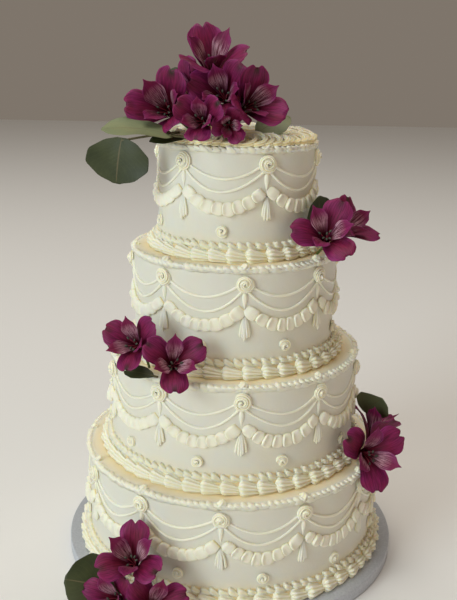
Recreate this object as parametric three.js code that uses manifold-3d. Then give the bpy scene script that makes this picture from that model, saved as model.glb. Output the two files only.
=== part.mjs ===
// Four-tier wedding cake on its board: buttercream tiers with piped borders, pleated swags,
// rosettes, tassels and dots, dressed with fresh flowers and round leaves.
// Millimetres, +Z up, origin at the centre of the board's underside, front of the cake facing -Y.
import * as THREE from 'three';
import { mergeVertices } from 'three/addons/utils/BufferGeometryUtils.js';
import Module from 'manifold-3d';

const wasm = await Module();
wasm.setup();

// ---------- driving dimensions ----------
const inch = 25.4;
const gap = 0.3; // clearance that touching pieces keep
const board = { radius: 7 * inch, thickness: inch / 2, round: 1.5, sides: 40 };
const icing = 2.2; // how far the iced wall stands outside the tin's radius, as layers shrink in baking
const tierHeight = 106.5;
// From the bottom up: baked diameter in inches, swags round the side, bearing of the first rosette.
const tierSpecs = [
  { pan: 12, swags: 12, turn: -3.2, wallSides: 48 },
  { pan: 10, swags: 10, turn: 3.9, wallSides: 40 },
  { pan: 8, swags: 8, turn: 5.4, wallSides: 32 },
  { pan: 6, swags: 6, turn: 21.1, wallSides: 30 },
];
const shell = { pitch: 18, height: 12, depth: 13, joint: 6, head: 0.36 }; // big shells round each foot
const tuft = { height: 7.5, depth: 6, joint: 3 }; // small shells above them, two to each big one
// Shells along each top edge, and the rope rings on the top tier's top.
const rim = { pitch: 17.2, drop: 6.5, crest: 1.5, depth: 4.2, joint: 2.2, inner: 5 };
const ropes = { rows: 2, width: 13, height: 8, valley: 4, pitch: 17, start: 5 };
const rosette = { drop: 15, radius: 9, height: 6.5, shoulder: 0.8, sides: 8 };
const swag = {
  top: [29, 50.5],
  bottom: [45, 63.5],
  sag: 2.1,
  ridge: 0.7,
  high: 6.2,
  flat: 2.6,
  pleats: 8,
  steps: 5,
};
const tassel = { top: 47, length: 22, radius: 5.2, sides: 5 };
const dot = { drop: 78, radius: 6.2, height: 5, shoulder: 0.7, sides: 4 };
const bite = 1.2; // how far piping is sunk into the wall that it is piped on
// A flower has three broad outer tepals and three narrow inner ones. Each leaves the throat at one
// angle from the flower's axis and reaches its tip at another; widths are half-widths at each step.
const outerTepal = {
  length: 52,
  width: 16,
  lean: [14, 74],
  steps: [0.3, 0.58, 0.84],
  share: [0.42, 0.86, 0.98],
};
const innerTepal = { length: 52, width: 9.5, lean: [7, 50], steps: [0.36, 0.74], share: [0.5, 1] };
const flower = { throat: 3, cup: 0.28, thick: 1.1, well: 2, neck: 6, stem: 1.5, foot: 1.2 };
// A round leaf: half-widths and the wave of its edges at each step from stalk to tip.
const blade = {
  steps: [0.08, 0.34, 0.64, 0.9],
  share: [0.5, 0.95, 1, 0.58],
  wave: [0, 0.07, -0.07, 0.04],
  fold: 0.1,
  thick: 1.2,
  stalk: 1.1,
};

// base is the throat, foot where the stem ends; size and open scale the head and its spread.
const flowers = [
  { name: 'flower_top_1', base: [-25.7, -12.5, 495.2], axis: [0.02, -0.58, 0.75],
    roll: 109, size: 1.03, open: 0.79, foot: [-28.1, -1.8, 439.1] },
  { name: 'flower_top_2', base: [-61.6, -29.5, 463], axis: [-0.29, -0.93, 0.4],
    roll: 53, size: 1.02, open: 0.71, foot: [-33.1, -20.1, 439.1] },
  { name: 'flower_top_3', base: [-30.1, -62.9, 458.5], axis: [-0.18, -0.89, 0.28],
    roll: 20, size: 0.74, open: 0.7, foot: [-22.6, -33.4, 439.1] },
  { name: 'flower_top_4', base: [3.2, -42, 469], axis: [0.46, -0.84, 0.38],
    roll: 115, size: 0.93, open: 0.71, foot: [3.2, -25.8, 439.1] },
  { name: 'flower_top_5', base: [-11.1, -28.3, 476.1], axis: [-0.14, -0.76, 0.35],
    roll: 38, size: 0.92, open: 0.74, foot: [-14.2, -11.4, 439.1] },
  { name: 'flower_top_6', base: [-6, 12, 463], axis: [0.3, 0.52, 0.72],
    roll: 20, size: 0.9, open: 0.95, foot: [-8, 6, 439.1] },
  { name: 'flower_top_7', base: [-37.7, -15.7, 478.4], axis: [-0.53, -0.49, 0.57],
    roll: 59, size: 0.78, open: 0.7, foot: [-38.8, -8.3, 439.1] },
  { name: 'flower_top_8', base: [-8.5, -66, 458.5], axis: [0.08, -0.97, -0.02],
    roll: 190, size: 0.52, open: 0.74, foot: [-14, -40, 439.1] },
  { name: 'flower_right_1', base: [86.8, -58.6, 347.3], axis: [-0.06, -0.84, 0.63],
    roll: 61, size: 0.88, open: 1.05, foot: [79.6, -46.9, 332.6] },
  { name: 'flower_right_2', base: [99, -38, 348], axis: [0.6, -0.35, 0.7],
    roll: 0, size: 0.82, open: 0.9, foot: [91.2, -31, 332.6] },
  { name: 'flower_left_1', base: [-56.9, -112.5, 237.7], axis: [0.14, -0.74, 0.53],
    roll: 37, size: 0.8, open: 1.05, foot: [-59.2, -104.7, 226.1] },
  { name: 'flower_left_2', base: [-87.6, -91.7, 248.9], axis: [-0.33, -0.67, 0.48],
    roll: 20, size: 0.78, open: 1.01, foot: [-81.1, -84.6, 226.1] },
  { name: 'flower_low_1', base: [132, -62.2, 128.4], axis: [0.32, -0.79, 0.35],
    roll: 46, size: 0.94, open: 1.09, foot: [133.9, -61.1, 119.6] },
  { name: 'flower_low_2', base: [145, -35.3, 126.4], axis: [0.34, 0.26, 0.98],
    roll: 57, size: 0.85, open: 0.8, foot: [134.9, -41.4, 119.6] },
  { name: 'flower_foot_1', base: [-88.9, -149.4, 49.1], axis: [-0.09, -0.54, 0.74],
    roll: 84, size: 0.88, open: 1, foot: [-86.2, -146.5, 13.1] },
  { name: 'flower_foot_2', base: [-100.1, -157.6, 18.7], axis: [-0.48, -0.69, 0.48],
    roll: 26, size: 0.78, open: 1, foot: [-94.9, -150.5, 13.1] },
  { name: 'flower_foot_3', base: [-74.8, -169.7, 18.9], axis: [0.3, -0.66, 0.57],
    roll: 30, size: 0.82, open: 1, foot: [-70.7, -157.2, 13.1] },
];

// base and tip are the ends of the blade, root the end of the stalk, up the way the face looks.
const leaves = [
  { name: 'leaf_top_1', root: [-45.8, -70.4, 446.4], base: [-58.5, -79.1, 447.4], tip: [-122.1, -83.6, 453],
    up: [0.06, -0.25, 1.02], bend: 7, width: 26 },
  { name: 'leaf_top_2', root: [-54, -47, 448.5], base: [-108, -52, 443], tip: [-114, -54, 400],
    up: [-0.15, -0.9, 0.3], bend: 5, width: 31 },
  { name: 'leaf_top_3', root: [-40.4, 20.2, 441], base: [-48, 24, 462], tip: [-66, 28, 506],
    up: [-0.25, -0.9, 0.3], bend: -6, width: 23 },
  { name: 'leaf_top_4', root: [8.2, -47.5, 447.9], base: [18, -50.7, 448.6], tip: [49.8, -37.9, 463.5],
    up: [-0.36, -0.81, 0.59], bend: 5, width: 15 },
  { name: 'leaf_top_5', root: [-39.5, -64.4, 446.2], base: [-49.1, -69.9, 444.8], tip: [-79.4, -80.8, 442.5],
    up: [-0.02, -0.44, 0.9], bend: 3, width: 9 },
  { name: 'leaf_right', root: [90, -34, 333], base: [88, -38, 346], tip: [79, -52, 391],
    up: [0.45, -0.85, 0.1], bend: -6, width: 17 },
  { name: 'leaf_left_1', root: [-101, -64, 227], base: [-102, -68, 240], tip: [-110, -78, 271],
    up: [-0.4, -0.85, 0.2], bend: -4, width: 10 },
  { name: 'leaf_left_2', root: [-101.8, -70.5, 227], base: [-106, -78, 236], tip: [-118, -88, 264],
    up: [-0.5, -0.8, 0.2], bend: -4, width: 14 },
  { name: 'leaf_left_3', root: [-70, -113, 227.6], base: [-74, -114, 228.6], tip: [-103, -104, 229],
    up: [0, -0.35, 0.95], bend: 3, width: 9 },
  { name: 'leaf_low', root: [154.2, -10.3, 124.1], base: [140.5, -22.4, 156.4], tip: [156.5, -33.8, 176.8],
    up: [0.07, -1.11, 0.13], bend: -5, width: 20 },
  { name: 'leaf_foot', root: [-100, -146, 16], base: [-104, -148, 22], tip: [-156, -156, 38],
    up: [0.25, -0.7, 0.65], bend: 6, width: 28 },
];

const petalColour = 0x7a1f52;
const leafColour = 0x46553a;
const material = (color, roughness, metalness = 0) =>
  new THREE.MeshStandardMaterial({ color, roughness, metalness, side: THREE.DoubleSide });
const buttercream = material(0xf1e9d2, 0.55);
const foil = material(0xb9b8c2, 0.35, 0.4);
const petal = material(petalColour, 0.5);
const greenery = material(leafColour, 0.6);

const rad = THREE.MathUtils.degToRad;
const lerp = THREE.MathUtils.lerp;
const tierRadius = (t) => (tierSpecs[t].pan * inch) / 2 + icing;
const tierFoot = (t) => board.thickness + t * tierHeight;
const tierTop = (t) => tierFoot(t) + tierHeight;

// A point at a bearing (degrees from the front, towards +X), a radius and a height.
function around(bearing, radius, z) {
  return new THREE.Vector3(radius * Math.sin(rad(bearing)), -radius * Math.cos(rad(bearing)), z);
}

// ---------- solids and meshes ----------
function toSolid(geometry) {
  const bare = geometry.clone();
  bare.deleteAttribute('normal');
  bare.deleteAttribute('uv');
  const welded = mergeVertices(bare, 1e-3);
  return new wasm.Manifold(
    new wasm.Mesh({
      numProp: 3,
      vertProperties: new Float32Array(welded.attributes.position.array),
      triVerts: new Uint32Array(welded.index.array),
    }),
  );
}

function toGeometry(solid) {
  const { vertProperties, triVerts } = solid.getMesh();
  const geometry = new THREE.BufferGeometry();
  geometry.setAttribute('position', new THREE.BufferAttribute(new Float32Array(vertProperties), 3));
  geometry.setIndex(new THREE.BufferAttribute(new Uint32Array(triVerts), 1));
  geometry.computeVertexNormals();
  return geometry;
}

function joined(geometries) {
  return toGeometry(wasm.Manifold.union(geometries.map(toSolid)).simplify(0.1));
}

function fromPoints(points, triangles) {
  const geometry = new THREE.BufferGeometry().setFromPoints(points);
  geometry.setIndex(triangles);
  return geometry;
}

// ---------- rings: a tier is a stack of closed rings of points, stitched one to the next ----------
// share is each point's place round the ring, from 0 to 1; rings may differ in how many points they have.
function ring(shares, turn, at) {
  return shares.map((share, k) => ({ share, point: around(turn + share * 360, ...at(k)) }));
}

const even = (count) => Array.from({ length: count }, (_, k) => k / count);
// Two points for each bead: its narrow joint and its fat head.
const beaded = (beads, head = 0.5) =>
  Array.from({ length: 2 * beads }, (_, k) => (Math.floor(k / 2) + (k % 2 ? head : 0)) / beads);
const either = (joint, fat) => (k) => (k % 2 ? fat : joint);

// Stitches two closed rings of { index, share } with triangles, always taking the nearer next point.
function stitch(triangles, low, high) {
  const shareAfter = (one, k) => (k >= one.length ? Infinity : k + 1 < one.length ? one[k + 1].share : 1);
  const at = (one, k) => one[k % one.length].index;
  let i = 0;
  let j = 0;
  while (i < low.length || j < high.length) {
    if (shareAfter(low, i) <= shareAfter(high, j)) {
      triangles.push(at(low, i), at(low, i + 1), at(high, j));
      i++;
    } else {
      triangles.push(at(low, i), at(high, j + 1), at(high, j));
      j++;
    }
  }
}

const evenly = (indices) => indices.map((index, k) => ({ index, share: k / indices.length }));

// Joins two sections [left, back, right, face] of a blade, its back and its face split alike.
function pairOfFaces(triangles, [l, b, r, f], [l2, b2, r2, f2]) {
  triangles.push(l, b, b2, l, b2, l2, b, r, r2, b, r2, b2);
  triangles.push(f, l, f2, l, l2, f2, r, f, r2, f, f2, r2);
}

function stitched(rings, footZ, crownZ) {
  const points = [];
  const triangles = [];
  const number = ({ share, point }) => ({ share, index: points.push(point) - 1 });
  const numbered = rings.map((one) => one.map(number));
  for (let r = 0; r + 1 < rings.length; r++) {
    stitch(triangles, numbered[r], numbered[r + 1]);
  }
  const foot = points.push(new THREE.Vector3(0, 0, footZ)) - 1;
  const crown = points.push(new THREE.Vector3(0, 0, crownZ)) - 1;
  const fan = (centre, round, up) => {
    round.forEach(({ index }, k) => {
      const next = round[(k + 1) % round.length].index;
      triangles.push(centre, ...(up ? [index, next] : [next, index]));
    });
  };
  fan(foot, numbered[0], false);
  fan(crown, numbered.at(-1), true);
  return fromPoints(points, triangles);
}

// The three rings of the pleated swags: lower edge, ridge in and out at each pleat, upper edge.
// Each edge is given by how far it lies below the tier's top at the ends of a swag and at its middle.
function swagRings(t) {
  const { swags, turn } = tierSpecs[t];
  const R = tierRadius(t);
  const drop = ([end, middle], share) => {
    const along = Math.abs(2 * ((share * swags) % 1) - 1);
    return lerp(middle, end, along ** swag.sag);
  };
  const edge = even(swag.steps * swags);
  const ridge = even(2 * swag.pleats * swags);
  const ridgeOut = (k) => {
    const station = k % (2 * swag.pleats);
    return station ? either(swag.flat, swag.high)(station) : 0.5;
  };
  return [
    ring(edge, turn, (k) => [R, tierTop(t) - drop(swag.bottom, edge[k])]),
    ring(ridge, turn, (k) => [
      R + ridgeOut(k),
      tierTop(t) - lerp(drop(swag.top, ridge[k]), drop(swag.bottom, ridge[k]), swag.ridge),
    ]),
    ring(edge, turn, (k) => [R, tierTop(t) - drop(swag.top, edge[k])]),
  ];
}

// The tier's own body with its foot border, its wall with the swags, and its edge border.
function tierBody(t) {
  const { turn, wallSides } = tierSpecs[t];
  const R = tierRadius(t);
  const bottom = tierFoot(t) + (t ? gap : 0);
  const top = tierTop(t);
  const shells = Math.round((2 * Math.PI * (R + shell.joint)) / shell.pitch);
  const edges = Math.round((2 * Math.PI * R) / rim.pitch);
  const tuftFoot = bottom + shell.height;
  const rings = [
    ring(even(shells), turn, () => [R + shell.depth * 0.6, bottom]),
    ring(beaded(shells, shell.head), turn, (k) => [
      R + either(shell.joint, shell.depth)(k),
      bottom + either(0.45, 0.4)(k) * shell.height,
    ]),
    ring(beaded(shells, shell.head), turn, (k) => [
      R + either(tuft.joint, tuft.depth + 1)(k),
      tuftFoot + either(-2, -0.5)(k),
    ]),
    ring(even(2 * shells), turn, () => [R + tuft.depth - 1, tuftFoot + 2.6]),
    ring(even(shells), turn, () => [R, tuftFoot + tuft.height]),
    ...swagRings(t),
    ring(even(wallSides), turn, () => [R, top - rim.drop]),
    ring(beaded(edges), turn, (k) => [R + either(rim.joint, rim.depth)(k), top - either(1.6, 3)(k)]),
    ring(even(wallSides), turn, () => [R - 1, top + rim.crest]),
  ];
  if (t < tierSpecs.length - 1) {
    rings.push(ring(even(wallSides), turn, () => [R - rim.inner, top]));
    return stitched(rings, bottom, top);
  }
  rings.push(ring(even(wallSides), turn, () => [R - rim.inner, top + 0.5]));
  for (let row = 0; row < ropes.rows; row++) {
    const outer = R - ropes.start - row * ropes.width;
    const middle = outer - ropes.width / 2;
    const bumps = Math.round((2 * Math.PI * middle) / ropes.pitch);
    rings.push(
      ring(beaded(bumps), turn + row * 9, (k) => [
        middle + either(1.5, -1.5)(k),
        top + either(ropes.height * 0.62, ropes.height)(k),
      ]),
      ring(even(bumps), turn, () => [outer - ropes.width, top + (row + 1 < ropes.rows ? ropes.valley : 0)]),
    );
  }
  return stitched(rings, bottom, top);
}

// ---------- piping on the wall ----------
// Stands a piece on the wall: its own +Z points out of the wall and its +Y up.
function onWall(geometry, bearing, radius, z) {
  const out = around(bearing, 1, 0);
  const up = new THREE.Vector3(0, 0, 1);
  const side = new THREE.Vector3().crossVectors(up, out);
  const place = new THREE.Matrix4().makeBasis(side, up, out).setPosition(around(bearing, radius, z));
  return geometry.applyMatrix4(place);
}

// A low swirl of icing: a round dome whose top dips and rises again to a bud.
function swirl({ radius, height, shoulder, sides }, bearing, R, z) {
  const profile = [
    [0, -bite],
    [radius, -bite],
    [radius * shoulder, height],
    [0, height],
  ].map(([r, y]) => new THREE.Vector2(r, y));
  const dome = new THREE.LatheGeometry(profile, sides).rotateX(Math.PI / 2);
  return onWall(dome, bearing, R, z);
}

// A tassel: a cone that hangs point up, half sunk in the wall.
function hangingTassel(bearing, R, z) {
  const cone = new THREE.ConeGeometry(tassel.radius, tassel.length, tassel.sides);
  return onWall(cone.translate(0, -tassel.length / 2, 0), bearing, R, z);
}

function tier(t) {
  const { swags, turn } = tierSpecs[t];
  const R = tierRadius(t);
  const pieces = [tierBody(t)];
  for (let n = 0; n < swags; n++) {
    const bearing = turn + (360 / swags) * n;
    const between = bearing + 180 / swags;
    pieces.push(
      swirl(rosette, bearing, R, tierTop(t) - rosette.drop),
      hangingTassel(bearing, R, tierTop(t) - tassel.top),
      swirl(dot, between, R, tierTop(t) - dot.drop),
    );
  }
  const mesh = new THREE.Mesh(joined(pieces), buttercream);
  mesh.name = `tier_${t + 1}`;
  return mesh;
}

function cakeBoard() {
  const { radius, thickness, round, sides } = board;
  const profile = [
    [0, 0],
    [radius - round, 0],
    [radius, round],
    [radius, thickness - round],
    [radius - round, thickness],
    [0, thickness],
  ].map(([r, y]) => new THREE.Vector2(r, y));
  const mesh = new THREE.Mesh(new THREE.LatheGeometry(profile, sides).rotateX(Math.PI / 2), foil);
  mesh.name = 'cake_board';
  return mesh;
}

// ---------- flowers ----------
// The flower's own frame: out of the axis at an angle round it, across that, and along the axis.
function flowerFrame({ base, axis, roll }) {
  const along = new THREE.Vector3(...axis).normalize();
  const turned = new THREE.Quaternion().setFromUnitVectors(new THREE.Vector3(0, 0, 1), along);
  const toward = (degrees) => {
    const angle = rad(roll + degrees);
    return new THREE.Vector3(Math.cos(angle), Math.sin(angle), 0).applyQuaternion(turned);
  };
  return { origin: new THREE.Vector3(...base), along, toward };
}

// One section of a tepal: left edge, middle of its back, right edge, middle of its face.
// The middle line is an arc whose lean from the axis grows evenly from throat to tip.
function tepalSection(frame, degrees, kind, size, open, u, share) {
  const first = rad(kind.lean[0]);
  const growth = rad(kind.lean[1] * open) - first;
  const lean = first + growth * u;
  const length = kind.length * size;
  const out = frame.toward(degrees);
  const across = frame.toward(degrees + 90);
  const spread = flower.throat * size + (length * (Math.cos(first) - Math.cos(lean))) / growth;
  const rise = (length * (Math.sin(lean) - Math.sin(first))) / growth;
  const middle = frame.origin.clone().addScaledVector(out, spread).addScaledVector(frame.along, rise);
  const inward = out.clone().multiplyScalar(-Math.cos(lean)).addScaledVector(frame.along, Math.sin(lean));
  const width = kind.width * size * share;
  const edge = (side) =>
    middle.clone().addScaledVector(across, side * width).addScaledVector(inward, flower.cup * width);
  const face = (side) => middle.clone().addScaledVector(inward, (side * flower.thick) / 2);
  return [edge(-1), face(-1), edge(1), face(1)];
}

function flowerGeometry(spec) {
  const { size, open } = spec;
  const frame = flowerFrame(spec);
  const points = [];
  const triangles = [];
  const add = (point) => points.push(point) - 1;
  const onRing = (degrees, radius, along) =>
    frame.origin.clone().addScaledVector(frame.toward(degrees), radius).addScaledVector(frame.along, along);
  const throat = flower.throat * size;
  const notches = [0, 1, 2, 3, 4, 5].map((k) => add(onRing(60 * k + 30, throat * 1.05, 0)));
  const backs = [0, 1, 2, 3, 4, 5].map((k) => add(onRing(60 * k, throat + flower.thick / 2, 0)));
  const faces = [0, 1, 2, 3, 4, 5].map((k) => add(onRing(60 * k, throat - flower.thick / 2, 0)));
  const well = add(onRing(0, 0, -flower.well));
  for (let k = 0; k < 6; k++) {
    const kind = k % 2 ? innerTepal : outerTepal;
    const before = notches[(k + 5) % 6];
    triangles.push(well, before, faces[k], well, faces[k], notches[k]);
    let low = [before, backs[k], notches[k], faces[k]];
    kind.steps.forEach((u, step) => {
      const high = tepalSection(frame, 60 * k, kind, size, open, u, kind.share[step]).map(add);
      pairOfFaces(triangles, low, high);
      low = high;
    });
    const tip = add(tepalSection(frame, 60 * k, kind, size, open, 1, 0)[0]);
    const [left, back, right, face] = low;
    triangles.push(left, back, tip, back, right, tip, face, left, tip, right, face, tip);
  }
  const collar = backs.flatMap((back, k) => [back, notches[k]]);
  const quarters = [0, 90, 180, 270];
  const neck = quarters.map((degrees) => add(onRing(degrees, flower.stem, -flower.neck)));
  const drop = new THREE.Vector3(...spec.foot);
  const foot = quarters.map((degrees) => {
    const { x, y } = frame.toward(degrees);
    return add(new THREE.Vector3(x, y, 0).setLength(flower.foot).add(drop));
  });
  stitch(triangles, evenly(foot), evenly(neck));
  stitch(triangles, evenly(neck), evenly(collar));
  triangles.push(foot[0], foot[2], foot[1], foot[0], foot[3], foot[2]);
  return fromPoints(points, triangles);
}

// ---------- leaves ----------
// A stalk and a round blade that bows along its length, its edges raised and waved.
function leafGeometry({ root, base, tip, up, bend, width }) {
  const [start, from, to] = [root, base, tip].map((p) => new THREE.Vector3(...p));
  const facing = new THREE.Vector3(...up).normalize();
  const bow = from.clone().lerp(to, 0.5).addScaledVector(facing, bend);
  const middleLine = new THREE.QuadraticBezierCurve3(from, bow, to);
  const points = [];
  const triangles = [];
  const section = (middle, run, half, thick, wave) => {
    const across = new THREE.Vector3().crossVectors(run, facing).normalize();
    const normal = new THREE.Vector3().crossVectors(across, run).normalize();
    const edge = (side) => {
      const lift = half * (blade.fold + side * wave);
      return middle.clone().addScaledVector(across, -side * half).addScaledVector(normal, lift);
    };
    const face = (side) => middle.clone().addScaledVector(normal, (side * thick) / 2);
    return [edge(-1), face(-1), edge(1), face(1)].map((point) => points.push(point) - 1);
  };
  const stalkRun = from.clone().sub(start);
  let low = section(start, stalkRun, blade.stalk, 2 * blade.stalk, 0);
  triangles.push(low[0], low[2], low[1], low[0], low[3], low[2]);
  const next = (high) => {
    pairOfFaces(triangles, low, high);
    low = high;
  };
  next(section(from, middleLine.getTangent(0), blade.stalk, 2 * blade.stalk, 0));
  blade.steps.forEach((u, k) => {
    const half = width * blade.share[k];
    next(section(middleLine.getPoint(u), middleLine.getTangent(u), half, blade.thick, blade.wave[k]));
  });
  const end = points.push(to) - 1;
  const [left, back, right, face] = low;
  triangles.push(left, back, end, back, right, end, face, left, end, right, face, end);
  return fromPoints(points, triangles);
}

const cake = new THREE.Group();
cake.add(cakeBoard(), ...tierSpecs.map((_, t) => tier(t)));
const addPiece = (name, geometry, look) => {
  const mesh = new THREE.Mesh(geometry, look);
  mesh.name = name;
  cake.add(mesh);
};
flowers.forEach((spec) => addPiece(spec.name, flowerGeometry(spec), petal));
leaves.forEach((spec) => addPiece(spec.name, leafGeometry(spec), greenery));

export default cake;
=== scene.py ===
import math
import bpy
import numpy as np
from mathutils import Matrix


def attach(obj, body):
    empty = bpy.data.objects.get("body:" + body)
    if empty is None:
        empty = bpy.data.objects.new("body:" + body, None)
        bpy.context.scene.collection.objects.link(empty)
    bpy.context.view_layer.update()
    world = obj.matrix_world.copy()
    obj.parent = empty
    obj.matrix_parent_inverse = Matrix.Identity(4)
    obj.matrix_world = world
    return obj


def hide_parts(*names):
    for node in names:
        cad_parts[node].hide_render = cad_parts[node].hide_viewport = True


# Four-tier buttercream wedding cake with fresh flowers, dressed over its CAD frame.
# Arrays hold millimetres until meshFrom turns them into metres.
# A bearing is an angle round the cake, from the front (-Y) towards +X.
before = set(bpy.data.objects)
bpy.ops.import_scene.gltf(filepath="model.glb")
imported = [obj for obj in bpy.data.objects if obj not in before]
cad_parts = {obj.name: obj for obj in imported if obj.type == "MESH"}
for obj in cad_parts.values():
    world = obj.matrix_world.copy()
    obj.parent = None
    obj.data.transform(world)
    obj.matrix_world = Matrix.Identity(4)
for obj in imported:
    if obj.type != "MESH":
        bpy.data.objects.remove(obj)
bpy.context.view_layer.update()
print("frame loaded:", len(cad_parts), "nodes")

# pan is a tin's width in inches, and turn is in degrees
cake = dict(boardRadius=177.8, boardThick=12.7, tierHeight=106.5, inch=25.4, icing=2.2, gap=0.3)
tiers = [
    dict(pan=12, swags=12, turn=-3.2, node="tier_1"),
    dict(pan=10, swags=10, turn=3.9, node="tier_2"),
    dict(pan=8, swags=8, turn=5.4, node="tier_3"),
    dict(pan=6, swags=6, turn=21.1, node="tier_4"),
]
for level, tier in enumerate(tiers):
    tier["radius"] = tier["pan"] * cake["inch"] / 2 + cake["icing"]
    tier["foot"] = cake["boardThick"] + level * cake["tierHeight"] + cake["gap"]
    tier["top"] = cake["boardThick"] + (level + 1) * cake["tierHeight"]
    tier["turn"] = math.radians(tier["turn"])
    tier["seed"] = 100 * (level + 1)


# Point at a bearing, a radius and a height: (r sin b, -r cos b, z).
def around(bearing, radius, z):
    bearing, radius, z = np.broadcast_arrays(bearing, radius, z)
    return np.stack([radius * np.sin(bearing), -radius * np.cos(bearing), z], -1)


def unit(v):
    return v / (np.linalg.norm(v, axis=-1, keepdims=True) + 1e-9)


# The angles of a full turn, in equal steps, for a loop that closes on itself.
def ring(count):
    return np.linspace(0, 2 * math.pi, count, endpoint=False)


# A closed solid for each copy: rows of closed loops, points (copies, rows, cols, 3), both ends capped.
# The faces are turned outwards by the sign of the volume inside the first copy.
def solid(points, creaseShade=0.0, **more):
    copies, rows, cols = points.shape[:3]
    index = np.arange(copies * rows * cols).reshape(copies, rows, cols)
    low, high = index[:, :-1], index[:, 1:]
    quads = np.stack([low, np.roll(low, -1, 2), np.roll(high, -1, 2), high], -1).reshape(-1, 4)
    caps = np.concatenate([index[:, 0, ::-1], index[:, -1]])
    first = points[0].reshape(-1, 3) - points[0].reshape(-1, 3).mean(0)
    a, b, c, d = (first[quads[:(rows - 1) * cols, k]] for k in range(4))
    volume = (a * np.cross(b, c)).sum() + (a * np.cross(c, d)).sum()
    if volume < 0:
        quads, caps = quads[:, ::-1], caps[:, ::-1]
    values = dict(creaseShade=creaseShade, **more)
    values = {key: np.broadcast_to(value, (copies, rows, cols)).ravel() for key, value in values.items()}
    return dict(points=points.reshape(-1, 3), faces=[quads, caps], values=values)


def addObject(name, data):
    thing = bpy.data.objects.new(name, data)
    bpy.context.scene.collection.objects.link(thing)
    return thing


# One mesh from several solids, in metres, with each value kept as a point attribute.
def meshFrom(name, solids, material, node):
    starts = np.cumsum([0] + [len(s["points"]) for s in solids])
    faces = [f + start for s, start in zip(solids, starts) for f in s["faces"]]
    corners = np.concatenate([f.ravel() for f in faces]).astype(np.int32)
    sizes = np.concatenate([np.full(len(f), f.shape[1]) for f in faces])
    points = np.concatenate([s["points"] for s in solids]) * 0.001
    mesh = bpy.data.meshes.new(name)
    mesh.vertices.add(len(points))
    mesh.vertices.foreach_set("co", points.astype(np.float32).ravel())
    mesh.loops.add(len(corners))
    mesh.loops.foreach_set("vertex_index", corners)
    mesh.polygons.add(len(sizes))
    mesh.polygons.foreach_set("loop_start", (np.cumsum(sizes) - sizes).astype(np.int32))
    mesh.polygons.foreach_set("use_smooth", np.ones(len(sizes), bool))
    mesh.update(calc_edges=True)
    for key in solids[0]["values"]:
        values = np.concatenate([s["values"][key] for s in solids]).astype(np.float32)
        mesh.attributes.new(key, "FLOAT", "POINT").data.foreach_set("value", values)
    mesh.materials.append(material)
    piece = addObject(name, mesh)
    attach(piece, "root")
    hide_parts(node)
    return piece


# Smooth noise: sine waves of random direction and phase over the given coordinates, added up.
def waves(coords, length, seed, terms=6):
    rng = np.random.default_rng(seed)
    total = 0
    for _ in range(terms):
        push = rng.normal(size=len(coords)) * 2 / length
        total = total + np.sin(sum(a * c for a, c in zip(push, coords)) + rng.uniform(0, 2 * math.pi))
    return total / math.sqrt(terms)


# A round or ridged rope along each path (copies, n, 3) with radii (copies, n): a star of `ridges`
# rounded points, its grooves `deep` of the radius, turning `twist` times from end to end.
def rope(path, radius, outward, cols, ridges=1, deep=0.0, twist=0.0):
    tangent = unit(np.gradient(path, axis=1))
    side = unit(np.cross(tangent, outward))
    up = np.cross(side, tangent)
    v = ring(cols)
    turn = 2 * math.pi * twist * np.linspace(0, 1, path.shape[1])[:, None]
    groove = np.broadcast_to(0.5 - 0.5 * np.cos(ridges * (v + turn)), radius.shape + (cols,))
    r = radius[..., None] * (1 - deep * groove)
    points = (path[:, :, None] + side[:, :, None] * (r * np.cos(v))[..., None]
              + up[:, :, None] * (r * np.sin(v))[..., None])
    return points, groove


def newMaterial(name):
    material = bpy.data.materials.new(name)
    material.use_nodes = True
    tree = material.node_tree
    return material, tree, tree.nodes["Principled BSDF"]


def setInputs(node, values):
    for name, value in values.items():
        node.inputs[name].default_value = value


# Gives a socket a number, a colour or what another node puts out.
def feed(tree, socket, value):
    if isinstance(value, (int, float)):
        socket.default_value = value
    elif isinstance(value, tuple):
        socket.default_value = (*value, 1)
    else:
        tree.links.new(value, socket)


def ramp(tree, source, stops):
    node = tree.nodes.new("ShaderNodeValToRGB")
    while len(node.color_ramp.elements) < len(stops):
        node.color_ramp.elements.new(0.5)
    for element, (at, colour) in zip(node.color_ramp.elements, stops):
        element.position = at
        element.color = (*colour, 1) if isinstance(colour, tuple) else (colour, colour, colour, 1)
    tree.links.new(source, node.inputs["Fac"])
    return node.outputs["Color"]


# A Mix node set to colour has its factor at input 0, its colours at 6 and 7, and its result at output 2.
def mixColour(tree, factor, a, b, mode="MIX"):
    mix = tree.nodes.new("ShaderNodeMix")
    mix.data_type = "RGBA"
    mix.blend_type = mode
    for socket, value in ((0, factor), (6, a), (7, b)):
        feed(tree, mix.inputs[socket], value)
    return mix.outputs[2]


def maths(tree, operation, *inputs):
    node = tree.nodes.new("ShaderNodeMath")
    node.operation = operation
    for socket, value in zip(node.inputs, inputs):
        feed(tree, socket, value)
    return node.outputs[0]


def times(tree, product, *factors):
    for factor in factors:
        product = maths(tree, "MULTIPLY", product, factor)
    return product


def attribute(tree, name):
    node = tree.nodes.new("ShaderNodeAttribute")
    node.attribute_name = name
    return node.outputs["Fac"]


def texture(tree, kind, vector, **values):
    node = tree.nodes.new("ShaderNodeTex" + kind)
    tree.links.new(vector, node.inputs["Vector"])
    setInputs(node, values)
    return node


def bumpNormal(tree, shader, height, strength, distance):
    node = tree.nodes.new("ShaderNodeBump")
    setInputs(node, dict(Strength=strength, Distance=distance))
    tree.links.new(height, node.inputs["Height"])
    tree.links.new(node.outputs["Normal"], shader.inputs["Normal"])


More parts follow.
